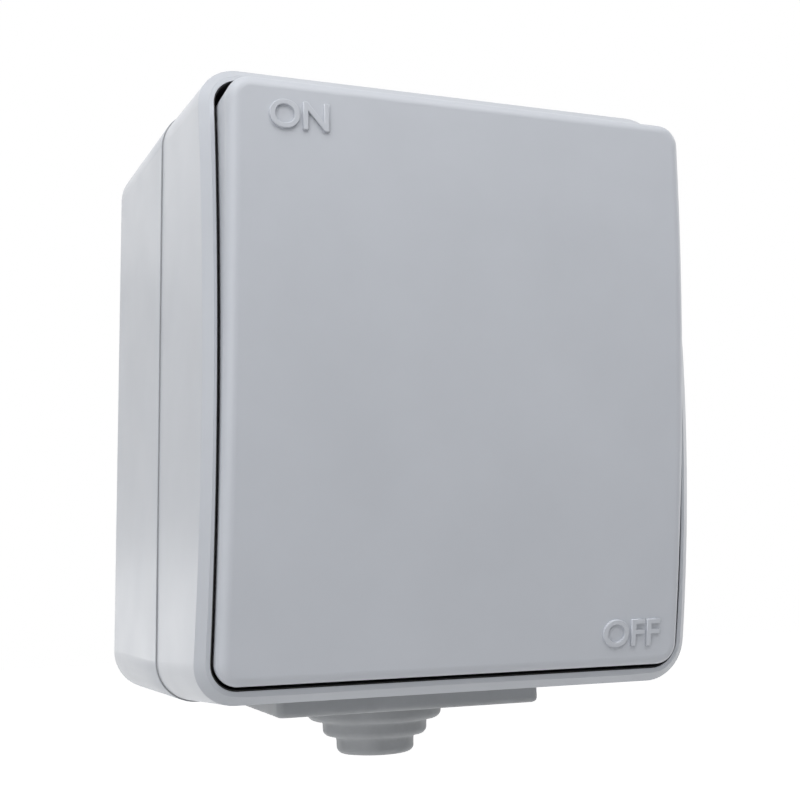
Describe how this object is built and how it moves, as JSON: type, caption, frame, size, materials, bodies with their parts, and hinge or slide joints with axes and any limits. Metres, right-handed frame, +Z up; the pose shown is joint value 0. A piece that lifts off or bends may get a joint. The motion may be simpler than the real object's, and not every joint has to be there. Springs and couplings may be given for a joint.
{
  "type": "outdoor weatherproof switch",
  "caption": "Grey surface-mounted weatherproof light switch: drafted back box, arched bevelled cover, wide crowned rocker over a rubber diaphragm, and a stepped rubber cable grommet underneath.",
  "frame": {"origin": "middle of the back box's wall face", "axes": "+X to the right as seen from the front, +Y into the wall (the front faces -Y), +Z up"},
  "size_m": [0.0722, 0.0626, 0.095],
  "materials": {
    "housing_grey": "satin, fine moulded texture",
    "rocker_grey": "satin, fine moulded texture",
    "black_rubber": "matt",
    "grey_rubber": "matt",
    "carrier_plastic": "satin",
    "white_plastic": "satin",
    "spring_steel": "drawn wire",
    "screw_steel": "zinc plated",
    "brass": "bright",
    "contact_metal": "bright"
  },
  "bodies": {
    "housing": {"back_box": "housing_grey", "cover_seal": "black_rubber", "front_cover": "housing_grey", "rocker_membrane": "black_rubber", "cover_screws": "screw_steel", "switch_base": "white_plastic", "chamber_lid": "white_plastic", "common_terminal": "brass", "upper_terminal": "brass", "lower_terminal": "brass", "fixed_tips": "contact_metal", "terminal_screws": "screw_steel", "base_screws": "screw_steel", "cable_grommet": "grey_rubber"},
    "rocker": {"rocker": "rocker_grey", "rocker_carrier": "carrier_plastic", "plunger_spring": "spring_steel"},
    "plunger": {"plunger": "white_plastic"},
    "contact": {"contact_bar": "brass", "bar_tips": "contact_metal"}
  },
  "joints": [
    {"name": "rocker_hinge", "type": "hinge", "parent": "housing", "child": "rocker", "pos_m": [0, -0.05, 0], "axis": [1, 0, 0], "range_deg": [-9, 0]},
    {"name": "contact_hinge", "type": "hinge", "parent": "housing", "child": "contact", "pos_m": [0, -0.018, 0], "axis": [1, 0, 0], "range_deg": [0, 18]},
    {"name": "plunger_slide", "type": "slide", "parent": "rocker", "child": "plunger", "axis": [0, -0.9969, -0.0785], "range_m": [0, 0.0012], "stiffness_N_per_m": 600, "deforming": ["plunger_spring"]}
  ],
  "couplings": [
    {"joint": "contact_hinge", "follows": "rocker_hinge", "ratio": -2}
  ]
}
